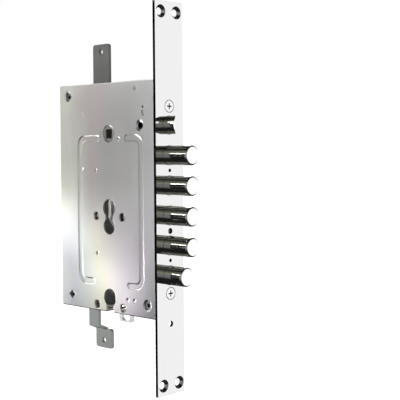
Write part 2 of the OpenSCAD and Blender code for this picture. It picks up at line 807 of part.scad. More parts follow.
module carriage_rack() {
  color([0.64, 0.62, 0.58])
  plate(rack_front, carriage_front)
    difference() {
      rack_2d(rack_left, rack_right, rack_z, rack_top);
      for (x = rack_rivet_x) translate([x, rack_top - rack_bar / 2]) circle(rack_rivet_r);
    }
}
module rack_rivets() {
  color([0.6, 0.6, 0.6])
  for (x = rack_rivet_x) bar_y(x, rack_top - rack_bar / 2, rack_front, carriage_back + 0.6, rack_rivet_r);
}

// Headed studs riveted to the back sheet, with a collar behind what they guide
stud_head_t = 2.2;
module headed_stud(x, z, front, back) {
  bar_y(x, z, front - head_gap - stud_head_t, front - head_gap, stud_r + collar_width);
  bar_y(x, z, front - head_gap - eps, back + head_gap + eps, stud_r);
  bar_y(x, z, back + head_gap, shell_inner, stud_r + collar_width);
}
module carriage_studs() {
  color([0.62, 0.62, 0.64]) for (p = stud_xz) headed_stud(p[0], p[1], carriage_front, carriage_back);
}
// The stud riveted to the cover that guides the service slide against the carriage
module service_stud() {
  color([0.62, 0.62, 0.64]) {
    x = service_stud_xz[0];
    z = service_stud_xz[1];
    bar_y(x, z, cover_inner, rack_front - head_gap, service_stud_r + collar_width);
    bar_y(x, z, rack_front - head_gap - eps, service_back, service_stud_r);
  }
}
module rod_studs() {
  color([0.62, 0.62, 0.64]) {
    headed_stud(rod_x, rod_stud_top, -rod_thickness / 2, rod_thickness / 2);
    headed_stud(strip_x, rod_stud_bottom, strip_y - rod_thickness / 2, strip_y + rod_thickness / 2);
  }
}

// The arbor of a notched wheel: a collar on the back sheet, a journal and a clip groove
clip_y = wheel_front - head_gap;
clip_depth = 0.6;
module arbor(z, collar_front) {
  difference() {
    union() {
      bar_y(0, z, clip_y - 2, collar_front + eps, arbor_r);
      bar_y(0, z, collar_front, shell_inner, arbor_r + collar_width);
    }
    difference() {
      bar_y(0, z, clip_y - 1, clip_y, arbor_r + 1);
      bar_y(0, z, clip_y - 1.1, clip_y + 0.1, arbor_r - clip_depth);
    }
  }
}
module drive_arbor() {
  color([0.62, 0.62, 0.64]) arbor(wheel_z, carriage_back + head_gap);
}
module service_arbor() {
  color([0.62, 0.62, 0.64]) arbor(service_wheel_z, carriage_back + head_gap);
}

// An open spring clip that sits in the arbor's groove
module clip(z) {
  translate([0, 0, z]) plate(clip_y - 0.9, clip_y - 0.1)
    difference() {
      circle(arbor_r + 2);
      circle(arbor_r - clip_depth + 0.05);
      translate([-1.6, 0]) square([3.2, arbor_r + 3]);
    }
}
module drive_clip() {
  color([0.35, 0.36, 0.38]) clip(wheel_z);
}
module service_clip() {
  color([0.35, 0.36, 0.38]) clip(service_wheel_z);
}

// A notched wheel with its pinion behind it, on one bored hub
module wheel_and_pinion(z) {
  difference() {
    union() {
      translate([0, 0, z]) plate(wheel_front, wheel_back) notched_wheel_2d();
      bar_y(0, z, wheel_back - eps, pinion_front + eps, root_r - 0.4);
      translate([0, 0, z]) plate(pinion_front, pinion_back) pinion_2d();
    }
    bar_y(0, z, wheel_front - 1, pinion_back + 1, arbor_r + journal_gap);
  }
}
module drive_wheel() {
  color([0.7, 0.68, 0.62]) wheel_and_pinion(wheel_z);
}
module service_wheel() {
  color([0.7, 0.68, 0.62]) wheel_and_pinion(service_wheel_z);
}

module service_bolt() {
  color([0.8, 0.81, 0.83]) round_bolt(service_z, service_throw, rack_front);
}

// The service bolt's slide: a rack with a wide foot on the bolt's flat tail
module service_slide() {
  color([0.58, 0.58, 0.6])
  plate(rack_front, service_back)
    difference() {
      union() {
        rack_2d(rack_left, service_throw + rack_ahead, service_rack_z, service_slide_top);
        translate([rack_left, service_stud_xz[1] - service_stud_r])
          square([tail_edge - rack_left, service_slide_top - service_stud_xz[1] + service_stud_r]);
        translate([bolt_inner, service_z - slide_foot])
          square([tail_edge - bolt_inner, service_slide_top - service_z + slide_foot]);
      }
      slot_2d(service_stud_xz, service_stud_xz + [service_throw, 0], service_stud_r + slot_gap);
      translate([rivet_x, service_z]) circle(bolt_rivet_r);
    }
}

// The latch: a round bolt with a bevel on the side away from the cover
module latch_bolt() {
  color([0.8, 0.81, 0.83])
  difference() {
    bar_x(0, latch_z, latch_inner, backset + latch_reach, latch_d / 2);
    slope = atan2(latch_d - latch_nose, latch_reach - 1);
    translate([backset + 1, latch_d / 2, latch_z]) rotate([0, 0, -slope])
      translate([-1, 0, -latch_d]) cube([3 * latch_d, 2 * latch_d, 2 * latch_d]);
    translate([backset + latch_reach - latch_slit, -latch_d, latch_z + slit_rise - slit_width / 2])
      cube([latch_slit + 1, 2 * latch_d, slit_width]);
    translate([latch_inner - 1, -tail_t / 2 - 0.1, latch_z - latch_d])
      cube([fork_depth + 1, tail_t + 0.2, 2 * latch_d]);
    bar_y(latch_inner + fork_depth / 2, latch_z, -latch_d, latch_d, latch_pin_r);
  }
}

// The latch's tail: a flat bar over the follower with an upright slot for its arm
module latch_tail() {
  web = fork_depth;
  neck = latch_inner + fork_depth - latch_shoulder;
  end = tail_slot_x - tail_rim;
  color([0.6, 0.6, 0.62])
  plate(-tail_t / 2, tail_t / 2)
    difference() {
      union() {
        translate([latch_shoulder, latch_z - web / 2]) square([neck, web]);
        translate([latch_shoulder, latch_z]) square([web, tail_high - latch_z]);
        translate([end, tail_low]) square([latch_shoulder + web - end, tail_width]);
      }
      slot_2d([tail_slot_x, tail_slot_low + 3], [tail_slot_x, tail_slot_high - 3], arm_pin_r + slot_gap);
      translate([latch_inner + fork_depth / 2, latch_z]) circle(latch_pin_r);
    }
}

module latch_pin() {
  color([0.6, 0.6, 0.6])
  bar_y(latch_inner + fork_depth / 2, latch_z, -latch_d / 2 + 0.6, latch_d / 2 - 0.6, latch_pin_r);
}

module latch_spring() {
  color([0.5, 0.52, 0.55])
  translate([bracket_x + bracket_t + spring_wire / 2 + 0.1, 0, latch_z]) rotate([0, 90, 0])
    coil(spring_r, spring_wire, 7, latch_shoulder - bracket_x - bracket_t - spring_wire - 0.2, 12);
}

// The bent bracket on the back sheet that the latch spring pushes against
module spring_bracket() {
  color([0.66, 0.66, 0.68])
  difference() {
    union() {
      translate([bracket_x, -bracket_down, latch_z - bracket_down])
        cube([bracket_t, shell_inner + bracket_down, bracket_down + bracket_up]);
      translate([bracket_x, shell_inner - 2, latch_z - bracket_down])
        cube([bracket_foot, 2, bracket_down + bracket_up]);
    }
    bar_y(bracket_x + bracket_foot - 6, latch_z - 0.5, shell_inner - 3, shell_inner + 1, 2);
  }
}

// The follower: a bored body on two journals, with an arm and its pin
module handle_follower() {
  color([0.72, 0.7, 0.62])
  translate([0, 0, follower_height])
  difference() {
    union() {
      bar_y(0, 0, cover_face + hub_inset, shell_face - hub_inset, follower_journal_d / 2);
      bar_y(0, 0, arm_front, body_back, follower_body_d / 2);
      rotate([0, arm_lean, 0]) {
        plate(arm_front, arm_back) {
          translate([-arm_half, 0]) square([2 * arm_half, follower_arm]);
          translate([0, follower_arm]) circle(arm_half);
        }
        bar_y(0, follower_arm, arm_back - eps, tail_t / 2 + 0.6, arm_pin_r);
      }
    }
    translate([-spindle_square / 2, cover_face - 1, -spindle_square / 2])
      cube([spindle_square, case_thickness + 2, spindle_square]);
    // The broken edges of the square hole
    for (a = [0:90:270], y = [cover_face, shell_face] + [hub_inset, -hub_inset])
      rotate([0, a, 0]) translate([0, y, spindle_square / 2]) rotate([45, 0, 0])
        cube([spindle_square, square_break, square_break], center = true);
  }
}

// The spring wound round the follower's rear journal
module follower_spring() {
  color([0.5, 0.52, 0.55])
  translate([0, shell_inner - 0.8, follower_height]) rotate([90, 0, 0])
    coil(follower_journal_d / 2 + 1.4, 1.2, 3, 4, 20);
}

// The vertical rods, with a slot for their stud and a hole at the free end
module rod_end_2d(x, z0, z1, width) {
  rounded_2d(x - width / 2, z0, x + width / 2, z1, 3);
}
module top_rod() {
  color([0.45, 0.46, 0.46])
  plate(-rod_thickness / 2, rod_thickness / 2)
    difference() {
      rod_end_2d(rod_x, top_pin_z - rod_end_margin, top_rod_end, rod_width);
      translate([rod_x, top_rod_end - rod_hole_margin]) circle(rod_hole_d / 2);
      translate([rod_x, top_pin_z]) circle(rod_pin_r);
      slot_2d([rod_x, rod_stud_top], [rod_x, rod_stud_top + rod_travel], stud_r + slot_gap);
    }
}
module bottom_rod() {
  color([0.45, 0.46, 0.46])
  difference() {
    intersection() {
      plate(strip_y - rod_thickness, rod_thickness) {
        rod_end_2d(rod_x, bottom_rod_end, joggle_low, rod_width);
        translate([strip_x - bottom_strip / 2, joggle_low - 3])
          square([bottom_strip, bottom_pin_z + rod_end_margin - joggle_low + 3]);
      }
      // The strip seen from its edge, with the slanting step
      translate([-big / 2, 0, 0]) rotate([90, 0, 90]) linear_extrude(big)
        polygon([[strip_y - rod_thickness / 2, bottom_pin_z + rod_end_margin],
                 [strip_y - rod_thickness / 2, joggle_high - joggle_bend],
                 [-rod_thickness / 2, joggle_low - joggle_bend],
                 [-rod_thickness / 2, bottom_rod_end], [rod_thickness / 2, bottom_rod_end],
                 [rod_thickness / 2, joggle_low + joggle_bend],
                 [strip_y + rod_thickness / 2, joggle_high + joggle_bend],
                 [strip_y + rod_thickness / 2, bottom_pin_z + rod_end_margin]]);
    }
    bar_y(rod_x, bottom_rod_end + rod_hole_margin, -big / 2, big / 2, rod_hole_d / 2);
    bar_y(strip_x, bottom_pin_z, -big / 2, big / 2, rod_pin_r);
    plate(strip_y - rod_thickness, strip_y + rod_thickness)
      slot_2d([strip_x, rod_stud_bottom], [strip_x, rod_stud_bottom - rod_travel], stud_r + slot_gap);
  }
}

module top_rod_pin() {
  color([0.6, 0.6, 0.6]) bar_y(rod_x, top_pin_z, -rod_thickness / 2, carriage_back, rod_pin_r);
}
module bottom_rod_pin() {
  color([0.6, 0.6, 0.6]) bar_y(strip_x, bottom_pin_z, strip_y - rod_thickness / 2, carriage_back, rod_pin_r);
}

forend();
bolt_guide();
case_shell();
cover_plate();
drill_plate();
case_posts();
case_screws();
forend_blocks();
forend_screws();
deadbolt_1();
deadbolt_2();
deadbolt_3();
deadbolt_4();
bolt_carriage();
bolt_rivets();
carriage_rack();
rack_rivets();
carriage_studs();
drive_arbor();
drive_wheel();
drive_clip();
service_bolt();
service_slide();
service_rivet();
service_arbor();
service_wheel();
service_clip();
service_stud();
latch_bolt();
latch_tail();
latch_pin();
latch_spring();
spring_bracket();
handle_follower();
follower_spring();
top_rod();
top_rod_pin();
bottom_rod();
bottom_rod_pin();
rod_studs();
cylinder_cradle();
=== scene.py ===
import math

import bmesh
import bpy
from mathutils import Matrix, Vector


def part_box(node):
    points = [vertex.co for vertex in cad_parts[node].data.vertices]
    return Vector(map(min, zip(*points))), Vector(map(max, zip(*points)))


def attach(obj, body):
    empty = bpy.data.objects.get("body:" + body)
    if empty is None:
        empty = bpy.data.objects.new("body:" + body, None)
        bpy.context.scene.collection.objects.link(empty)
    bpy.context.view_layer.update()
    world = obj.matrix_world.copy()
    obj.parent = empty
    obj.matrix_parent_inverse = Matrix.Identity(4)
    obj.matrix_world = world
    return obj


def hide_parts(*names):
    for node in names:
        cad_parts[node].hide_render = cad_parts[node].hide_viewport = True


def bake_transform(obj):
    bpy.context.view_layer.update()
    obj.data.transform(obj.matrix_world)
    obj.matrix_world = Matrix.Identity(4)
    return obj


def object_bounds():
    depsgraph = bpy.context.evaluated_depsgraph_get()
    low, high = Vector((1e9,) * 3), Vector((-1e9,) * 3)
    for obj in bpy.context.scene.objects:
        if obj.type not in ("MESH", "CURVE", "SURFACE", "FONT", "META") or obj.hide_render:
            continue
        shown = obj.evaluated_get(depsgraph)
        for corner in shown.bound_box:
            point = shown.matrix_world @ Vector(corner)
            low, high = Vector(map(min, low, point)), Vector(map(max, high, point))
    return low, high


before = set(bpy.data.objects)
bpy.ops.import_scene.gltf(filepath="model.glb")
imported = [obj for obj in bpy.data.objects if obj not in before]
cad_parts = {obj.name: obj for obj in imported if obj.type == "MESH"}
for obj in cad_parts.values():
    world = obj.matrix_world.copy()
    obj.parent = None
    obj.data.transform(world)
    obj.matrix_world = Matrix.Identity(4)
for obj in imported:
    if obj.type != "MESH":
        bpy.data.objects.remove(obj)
cad_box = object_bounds()


# Camera: stands off the forend's side of the cover, level with the upper bolts, and looks at
# the corner between cover and forend, a little downwards. The film is shifted so that its
# axis falls on axis_row, and the picture is developed without a film look.
photo_width = 400
film_width = 36
focal_pixels = 956.8
axis_row = 182
camera_turn = math.radians(46.1262)
camera_pitch = 0.03667
camera_roll = -0.007221
camera_place = Vector((0.7036, -0.6217, 0.0586))

ahead = Vector((-math.cos(camera_turn) * math.cos(camera_pitch),
                math.sin(camera_turn) * math.cos(camera_pitch), -math.sin(camera_pitch)))
across = Vector((math.sin(camera_turn), math.cos(camera_turn), 0))
upright = across.cross(ahead)
camera_right = math.cos(camera_roll) * across + math.sin(camera_roll) * upright
camera_up = math.cos(camera_roll) * upright - math.sin(camera_roll) * across
camera_data = bpy.data.cameras.new("photo_camera")
camera_data.sensor_width = film_width
camera_data.lens = focal_pixels / photo_width * film_width
camera_data.shift_y = (axis_row - photo_width / 2) / photo_width
camera = bpy.data.objects.new("photo_camera", camera_data)
camera.matrix_world = Matrix((
    (camera_right.x, camera_up.x, -ahead.x, camera_place.x),
    (camera_right.y, camera_up.y, -ahead.y, camera_place.y),
    (camera_right.z, camera_up.z, -ahead.z, camera_place.z),
    (0, 0, 0, 1)))
bpy.context.collection.objects.link(camera)
bpy.context.scene.camera = camera
bpy.context.scene.view_settings.view_transform = "Standard"


# Case and cover: a folded case of 2 mm steel sheet and a pressed cover of 1.5 mm, zinc plated
# and passivated, which leaves a satin surface with pale yellow, rose and green tints. The
# guide plate behind the forend and the latch's spring bracket are plated with them.
millimetre = 0.001
edge_radius = 0.35 * millimetre
grain_relief = 0.2 * millimetre
noise_middle = 0.5
tint_span = (-0.058, 0.083)
tint_and_light_fade = (0.03, -0.05)
tint_sway = 0.035
# Besides the tints, both ramps hold painted light: the sheet is painted lighter towards its left
# end, and the lower ramp is lighter still.
upper_tints_and_light = [
    (0.0, (0.96, 0.97, 0.86)), (0.12, (0.97, 0.98, 0.89)), (0.22, (0.85, 0.83, 0.78)),
    (0.33, (0.77, 0.70, 0.69)), (0.48, (0.70, 0.68, 0.68)), (0.75, (0.70, 0.70, 0.69)),
    (1.0, (0.80, 0.79, 0.80))]
lower_tints_and_light = [
    (0.0, (1.0, 1.0, 1.0)), (0.12, (0.86, 0.88, 0.93)), (0.3, (0.86, 0.90, 0.86)),
    (0.44, (0.98, 0.97, 0.82)), (0.58, (0.96, 0.90, 0.92)), (0.8, (0.90, 0.85, 0.91)),
    (1.0, (0.86, 0.84, 0.89))]
# Painted shade: the sheet is painted darker towards its lower corner at the forend's foot.
painted_shade_way = (0.8, 0, -0.6)
painted_shade_span = (0.068, 0.104)
painted_corner_shade = (0.62, 0.62, 0.63)
# A painted highlight: a white line along the sheet's top edge.
top_highlight_band, top_highlight_color = (0.1201, 0.1205), (1.0, 1.0, 1.0)
# Painted shade: a dark line along the sheet's bottom edge.
bottom_shade_band, bottom_shade_color = (-0.1000, -0.1005), (0.08, 0.08, 0.08)


def add_node(tree, kind, **settings):
    """A new node of that kind, with its inputs and properties set by name."""
    node = tree.nodes.new(kind)
    for name, value in settings.items():
        label = name.replace("_", " ")
        if label in node.inputs:
            node.inputs[label].default_value = value
        else:
            setattr(node, name, value)
    return node


def new_group(name, inputs, outputs):
    """An empty node group: number or colour inputs at their usual values, and named outputs."""
    group = bpy.data.node_groups.new(name, "ShaderNodeTree")
    for label, value in inputs:
        kind = "NodeSocketColor" if isinstance(value, tuple) else "NodeSocketFloat"
        socket = group.interface.new_socket(label, in_out="INPUT", socket_type=kind)
        socket.default_value = value
    for label, kind in outputs:
        group.interface.new_socket(label, in_out="OUTPUT", socket_type=kind)
    return group, group.nodes.new("NodeGroupInput"), group.nodes.new("NodeGroupOutput")


def build_rolled_grain():
    """Grain of rolled sheet or drawn stock: fine lines along one way, and cloudy patches."""
    group, given, result = new_group(
        "rolled_grain",
        [("Along X", 60), ("Along Y", 60), ("Along Z", 1200), ("Depth", 1), ("Patches", 0.1)],
        [("Height", "NodeSocketFloat"), ("Roughness", "NodeSocketFloat")])
    place = add_node(group, "ShaderNodeTexCoord")
    scale = add_node(group, "ShaderNodeCombineXYZ")
    stretch = add_node(group, "ShaderNodeVectorMath", operation="MULTIPLY")
    lines = add_node(group, "ShaderNodeTexNoise", Scale=1.0, Detail=3.0, Roughness=0.6)
    clouds = add_node(group, "ShaderNodeTexNoise", Scale=45.0, Detail=4.0, Roughness=0.55)
    height = add_node(group, "ShaderNodeMath", operation="MULTIPLY")
    centre = add_node(group, "ShaderNodeMath", operation="SUBTRACT")
    centre.inputs[1].default_value = noise_middle
    rough = add_node(group, "ShaderNodeMath", operation="MULTIPLY")
    link = group.links.new
    for axis in "XYZ":
        link(given.outputs["Along " + axis], scale.inputs[axis])
    link(place.outputs["Object"], stretch.inputs[0])
    link(scale.outputs[0], stretch.inputs[1])
    link(stretch.outputs[0], lines.inputs["Vector"])
    link(place.outputs["Object"], clouds.inputs["Vector"])
    link(lines.outputs["Fac"], height.inputs[0])
    link(given.outputs["Depth"], height.inputs[1])
    link(height.outputs[0], result.inputs["Height"])
    link(clouds.outputs["Fac"], centre.inputs[0])
    link(centre.outputs[0], rough.inputs[0])
    link(given.outputs["Patches"], rough.inputs[1])
    link(rough.outputs[0], result.inputs["Roughness"])
    return group


rolled_grain = build_rolled_grain()


def steel_finish(name, color, roughness, metallic=1.0, grain=(60, 60, 1200), depth=0.5,
                 patches=0.1, bump=0.05, edge=edge_radius):
    """A metal with rolled or turned grain and edges that are broken by a small radius."""
    material = bpy.data.materials.new(name)
    material.use_nodes = True
    tree = material.node_tree
    link = tree.links.new
    shader = tree.nodes["Principled BSDF"]
    shader.inputs["Base Color"].default_value = (*color, 1)
    shader.inputs["Metallic"].default_value = metallic
    lines = add_node(tree, "ShaderNodeGroup", node_tree=rolled_grain, Depth=depth, Patches=patches)
    for axis, value in zip("XYZ", grain):
        lines.inputs["Along " + axis].default_value = value
    total = add_node(tree, "ShaderNodeMath", operation="ADD", use_clamp=True)
    total.inputs[0].default_value = roughness
    link(lines.outputs["Roughness"], total.inputs[1])
    link(total.outputs[0], shader.inputs["Roughness"])
    broken = add_node(tree, "ShaderNodeBevel", samples=4, Radius=edge)
    relief = add_node(tree, "ShaderNodeBump", Strength=bump, Distance=grain_relief)
    link(lines.outputs["Height"], relief.inputs["Height"])
    link(broken.outputs["Normal"], relief.inputs["Normal"])
    link(relief.outputs["Normal"], shader.inputs["Normal"])
    return material


def paint(material, *nodes):
    """Gives CAD nodes a finish by their own material slots."""
    for node in nodes:
        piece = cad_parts[node]
        if not piece.material_slots:
            piece.data.materials.append(material)
        for slot in piece.material_slots:
            slot.material = material


def split(tree, kind):
    """The X, Y and Z of a coordinate, such as Object or Normal."""
    place = add_node(tree, "ShaderNodeTexCoord")
    parts = add_node(tree, "ShaderNodeSeparateXYZ")
    tree.links.new(place.outputs[kind], parts.inputs[0])
    return parts.outputs


def rise(tree, source, start, end, top=1.0, **settings):
    """A number that goes from 0 to its top while the source goes from start to end."""
    node = add_node(tree, "ShaderNodeMapRange", **settings)
    node.inputs["From Min"].default_value = start
    node.inputs["From Max"].default_value = end
    node.inputs["To Max"].default_value = top
    tree.links.new(source, node.inputs["Value"])
    return node.outputs[0]


def along_way(tree, kind, way):
    """How far a coordinate reaches along a direction."""
    place = add_node(tree, "ShaderNodeTexCoord")
    reach = add_node(tree, "ShaderNodeVectorMath", operation="DOT_PRODUCT")
    reach.inputs[1].default_value = way
    tree.links.new(place.outputs[kind], reach.inputs[0])
    return reach.outputs["Value"]


def color_ramp(tree, source, stops):
    """A ramp of colours over a number from 0 to 1."""
    node = tree.nodes.new("ShaderNodeValToRGB")
    elements = node.color_ramp.elements
    for element, (position, color) in zip(elements, (stops[0], stops[-1])):
        element.position, element.color = position, (*color, 1)
    for position, color in stops[1:-1]:
        elements.new(position).color = (*color, 1)
    tree.links.new(source, node.inputs["Fac"])
    return node.outputs["Color"]


def lay_over(material, mask, color, mode="MIX"):
    """Lays a colour, or a node's output, over the finish's own colour where the mask is 1."""
    tree = material.node_tree
    base = tree.nodes["Principled BSDF"].inputs["Base Color"]
    mix = add_node(tree, "ShaderNodeMix", data_type="RGBA", blend_type=mode)
    own, added = mix.inputs[6], mix.inputs[7]
    if base.is_linked:
        tree.links.new(base.links[0].from_socket, own)
    else:
        own.default_value = base.default_value
    if isinstance(color, tuple):
        added.default_value = (*color, 1)
    else:
        tree.links.new(color, added)
    tree.links.new(mask, mix.inputs[0])
    tree.links.new(mix.outputs[2], base)


def tint_and_light_sheet(material):
    """Tints and painted light; painted shade at the forend's foot; a painted highlight and dark
    line at the rims.
    """
    tree = material.node_tree
    link = tree.links.new
    parts = split(tree, "Object")
    place = add_node(tree, "ShaderNodeTexCoord")
    sway = add_node(tree, "ShaderNodeTexNoise", Scale=14.0, Detail=2.0)
    shift = add_node(tree, "ShaderNodeMath", operation="MULTIPLY_ADD")
    shift.inputs[1].default_value = tint_sway
    link(place.outputs["Object"], sway.inputs["Vector"])
    link(sway.outputs["Fac"], shift.inputs[0])
    link(parts["X"], shift.inputs[2])
    along = rise(tree, shift.outputs[0], *tint_span)
    lighter_below = rise(tree, parts["Z"], *tint_and_light_fade, interpolation_type="SMOOTHSTEP")
    link(color_ramp(tree, along, upper_tints_and_light), tree.nodes["Principled BSDF"].inputs["Base Color"])
    # The lower part takes the lighter lower ramp: painted light.
    lay_over(material, lighter_below, color_ramp(tree, along, lower_tints_and_light))
    # Painted shade towards the lower corner at the forend's foot.
    corner = rise(tree, along_way(tree, "Object", painted_shade_way), *painted_shade_span)
    lay_over(material, corner, painted_corner_shade, mode="MULTIPLY")
    # A painted highlight along the top edge, then a painted dark line of shade along the bottom
    # edge.
    lay_over(material, rise(tree, parts["Z"], *top_highlight_band), top_highlight_color)
    lay_over(material, rise(tree, parts["Z"], *bottom_shade_band), bottom_shade_color)


zinc = steel_finish("zinc_passivated_sheet", (0.7, 0.7, 0.68), 0.34, grain=(900, 900, 60),
                    bump=0.04, patches=0.14)
tint_and_light_sheet(zinc)
paint(zinc, "cover_plate", "case_shell", "bolt_guide", "spring_bracket")


# Cradle: a small U of 3 mm sheet under the case's bottom edge, in which the web of the
# service cylinder hangs. Its zinc plate is left bright.
bright_zinc = steel_finish("bright_zinc_bracket", (0.97, 0.96, 0.97), 0.5, metallic=0.3, bump=0.04)
paint(bright_zinc, "cylinder_cradle")


# Forend: a 3 mm stainless strip, ground and polished to a mirror on its face, held to the
# case by two countersunk screws and to the door by four more. Its sides carry painted shade,
# its back is left as ground, and two black discs are painted between the bolts.
face_limit = 0.08
back_limit = -0.5
dot_heights = (0.037, -0.047)
dot_radius = 1.7 * millimetre
dot_color = (0.002, 0.002, 0.002)
back_color = (0.5, 0.5, 0.51)
back_roughness = 0.5


def below(tree, source, limit):
    """A mask that is 1 where the source is below the limit."""
    node = add_node(tree, "ShaderNodeMath", operation="LESS_THAN")
    node.inputs[1].default_value = limit
    tree.links.new(source, node.inputs[0])
    return node.outputs[0]


def build_face_and_side():
    """One colour on faces that look along the throw, as a bolt's end does, one on the sides."""
    group, given, result = new_group(
        "face_and_side_shade", [("Face Color", (1, 1, 1, 1)), ("Side Color", (0, 0, 0, 1))],
        [("Color", "NodeSocketColor")])
    size = add_node(group, "ShaderNodeMath", operation="ABSOLUTE")
    mix = add_node(group, "ShaderNodeMix", data_type="RGBA")
    group.links.new(split(group, "Normal")["X"], size.inputs[0])
    group.links.new(below(group, size.outputs[0], face_limit), mix.inputs[0])
    group.links.new(given.outputs["Face Color"], mix.inputs[6])
    group.links.new(given.outputs["Side Color"], mix.inputs[7])
    group.links.new(mix.outputs[2], result.inputs["Color"])
    return group


face_and_side_shade = build_face_and_side()


def paint_faces_and_side_shade(material, face_color, side_color):
    """Gives a finish a lighter colour on its faces and a darker one on its sides: painted shade.
    """
    tree = material.node_tree
    colors = add_node(tree, "ShaderNodeGroup", node_tree=face_and_side_shade,
                      Face_Color=(*face_color, 1), Side_Color=(*side_color, 1))
    tree.links.new(colors.outputs["Color"], tree.nodes["Principled BSDF"].inputs["Base Color"])


def dull_back(material, roughness, color):
    """Leaves the face towards the case grey and rough."""
    tree = material.node_tree
    shader = tree.nodes["Principled BSDF"]
    behind = below(tree, split(tree, "Normal")["X"], back_limit)
    lay_over(material, behind, color)
    rough = add_node(tree, "ShaderNodeMix", data_type="FLOAT")
    rough.inputs[3].default_value = roughness
    tree.links.new(behind, rough.inputs[0])
    tree.links.new(shader.inputs["Roughness"].links[0].from_socket, rough.inputs[2])
    tree.links.new(rough.outputs[0], shader.inputs["Roughness"])


def paint_black_dots(material, heights, radius, color):
    """Paints a black disc round each of the given points on the strip's middle line."""
    tree = material.node_tree
    place = add_node(tree, "ShaderNodeTexCoord")
    flat = add_node(tree, "ShaderNodeVectorMath", operation="MULTIPLY")
    flat.inputs[1].default_value = (0, 1, 1)
    tree.links.new(place.outputs["Object"], flat.inputs[0])
    for height in heights:
        away = add_node(tree, "ShaderNodeVectorMath", operation="DISTANCE")
        away.inputs[1].default_value = (0, 0, height)
        tree.links.new(flat.outputs[0], away.inputs[0])
        lay_over(material, below(tree, away.outputs["Value"], radius), color)


mirror = steel_finish("mirror_stainless", (0.93, 0.935, 0.94), 0.035, grain=(300, 300, 40),
                      depth=0.3, patches=0.03, bump=0.01, edge=0.2 * millimetre)
# Painted shade: the strip's sides are painted near black.
paint_faces_and_side_shade(mirror, (0.872, 0.873, 0.874), (0.012, 0.012, 0.012))
dull_back(mirror, back_roughness, back_color)
paint_black_dots(mirror, dot_heights, dot_radius, dot_color)
paint(mirror, "forend")


# Deadbolts, service bolt and latch: bright steel bar, turned, chamfered and nickel plated.
# Faint turning rings run round them; their sides are painted darker than their ends, as painted
# shade.
nickel = steel_finish("turned_nickel", (0.88, 0.88, 0.86), 0.07, grain=(2600, 30, 30),
                      patches=0.05, bump=0.02, edge=0.3 * millimetre)
# Painted shade: the bolts' sides are painted darker than their ends.
paint_faces_and_side_shade(nickel, (1.0, 1.0, 1.0), (0.80, 0.80, 0.77))
paint(nickel, "deadbolt_1", "deadbolt_2", "deadbolt_3", "deadbolt_4", "service_bolt", "latch_bolt")


# Rods, carriage, slide and latch tail: plain rolled steel strip, punched and bent, lightly
# oiled and left dull. The bottom rod is a paler strip than the others.
strip = steel_finish("dull_strip_steel", (0.20, 0.205, 0.20), 0.48, metallic=0.75,
                     grain=(900, 900, 60), patches=0.2, bump=0.08)
paint(strip, "top_rod", "bolt_carriage", "service_slide", "latch_tail")
pale_strip = steel_finish("pale_strip_steel", (0.36, 0.38, 0.36), 0.46, metallic=0.7,
                          grain=(900, 900, 60), patches=0.2, bump=0.08)
paint(pale_strip, "bottom_rod")


# Studs, arbors, posts, rivets, pins, case screws and the forend's threaded blocks: small steel
# parts, turned or milled and zinc plated, then riveted, pressed or screwed into place.
turned = steel_finish("turned_zinc", (0.52, 0.52, 0.53), 0.3, grain=(60, 2000, 60), bump=0.05)
paint(turned, "case_posts", "case_screws", "forend_blocks", "bolt_rivets", "rack_rivets",
      "carriage_studs", "drive_arbor", "service_arbor", "service_rivet", "service_stud",
      "latch_pin", "top_rod_pin", "bottom_rod_pin", "rod_studs")


# Forend screws: two M6 countersunk screws of polished steel, with rolled threads and a cross
# recess, which draw the forend onto its threaded blocks. The fine groove round each head and
# each recess are painted dark, as painted shade.
screw_heights = (0.0965, -0.078)
forend_face = 0.067
head_radius = 5.9 * millimetre
head_play = 0.05 * millimetre
groove_width = 0.6 * millimetre
groove_depth = 0.5 * millimetre
shank_radius = 2.95 * millimetre
neck_radius = shank_radius - 0.3 * millimetre
neck_depth = 0.35 * millimetre + head_radius - shank_radius
core_radius = 2.55 * millimetre
thread_pitch = 1.0 * millimetre
screw_length = 13.9 * millimetre
tip_radius = 0.8 * core_radius
tip_centre = 0.2 * millimetre
screw_sides = 40
recess_arm, recess_half, recess_depth = 2.8 * millimetre, 0.6 * millimetre, 1.4 * millimetre
recess_taper = 0.7
shade_depths = (0.1 * millimetre, 0.35 * millimetre)
recess_shade_color = (0.03, 0.03, 0.03)
touching = 1e-6


def press_cross(shape, rim, centre):
    """Fills a screw's top inside its rim, and presses a tapering cross into it."""
    quarter = [(recess_half, recess_arm), (recess_half, recess_half), (recess_arm, recess_half)]
    outline = []
    for turn in range(4):
        for y, z in quarter:
            for _ in range(turn):
                y, z = z, -y
            outline.append(shape.verts.new(centre + Vector((0, y, z))))
    edges = [shape.edges.new((a, b)) for a, b in zip(outline, outline[1:] + outline[:1])]
    bmesh.ops.triangle_fill(shape, use_beauty=True, edges=rim + edges, normal=(1, 0, 0))
    pressed = bmesh.ops.extrude_edge_only(shape, edges=edges)["geom"]
    floor_points = [part for part in pressed if isinstance(part, bmesh.types.BMVert)]
    floor_edges = [part for part in pressed if isinstance(part, bmesh.types.BMEdge)]
    bmesh.ops.translate(shape, verts=floor_points, vec=(-recess_depth, 0, 0))
    bmesh.ops.scale(shape, verts=floor_points, vec=(1, recess_taper, recess_taper),
                    space=Matrix.Translation(-centre))
    bmesh.ops.contextual_create(shape, geom=floor_edges)


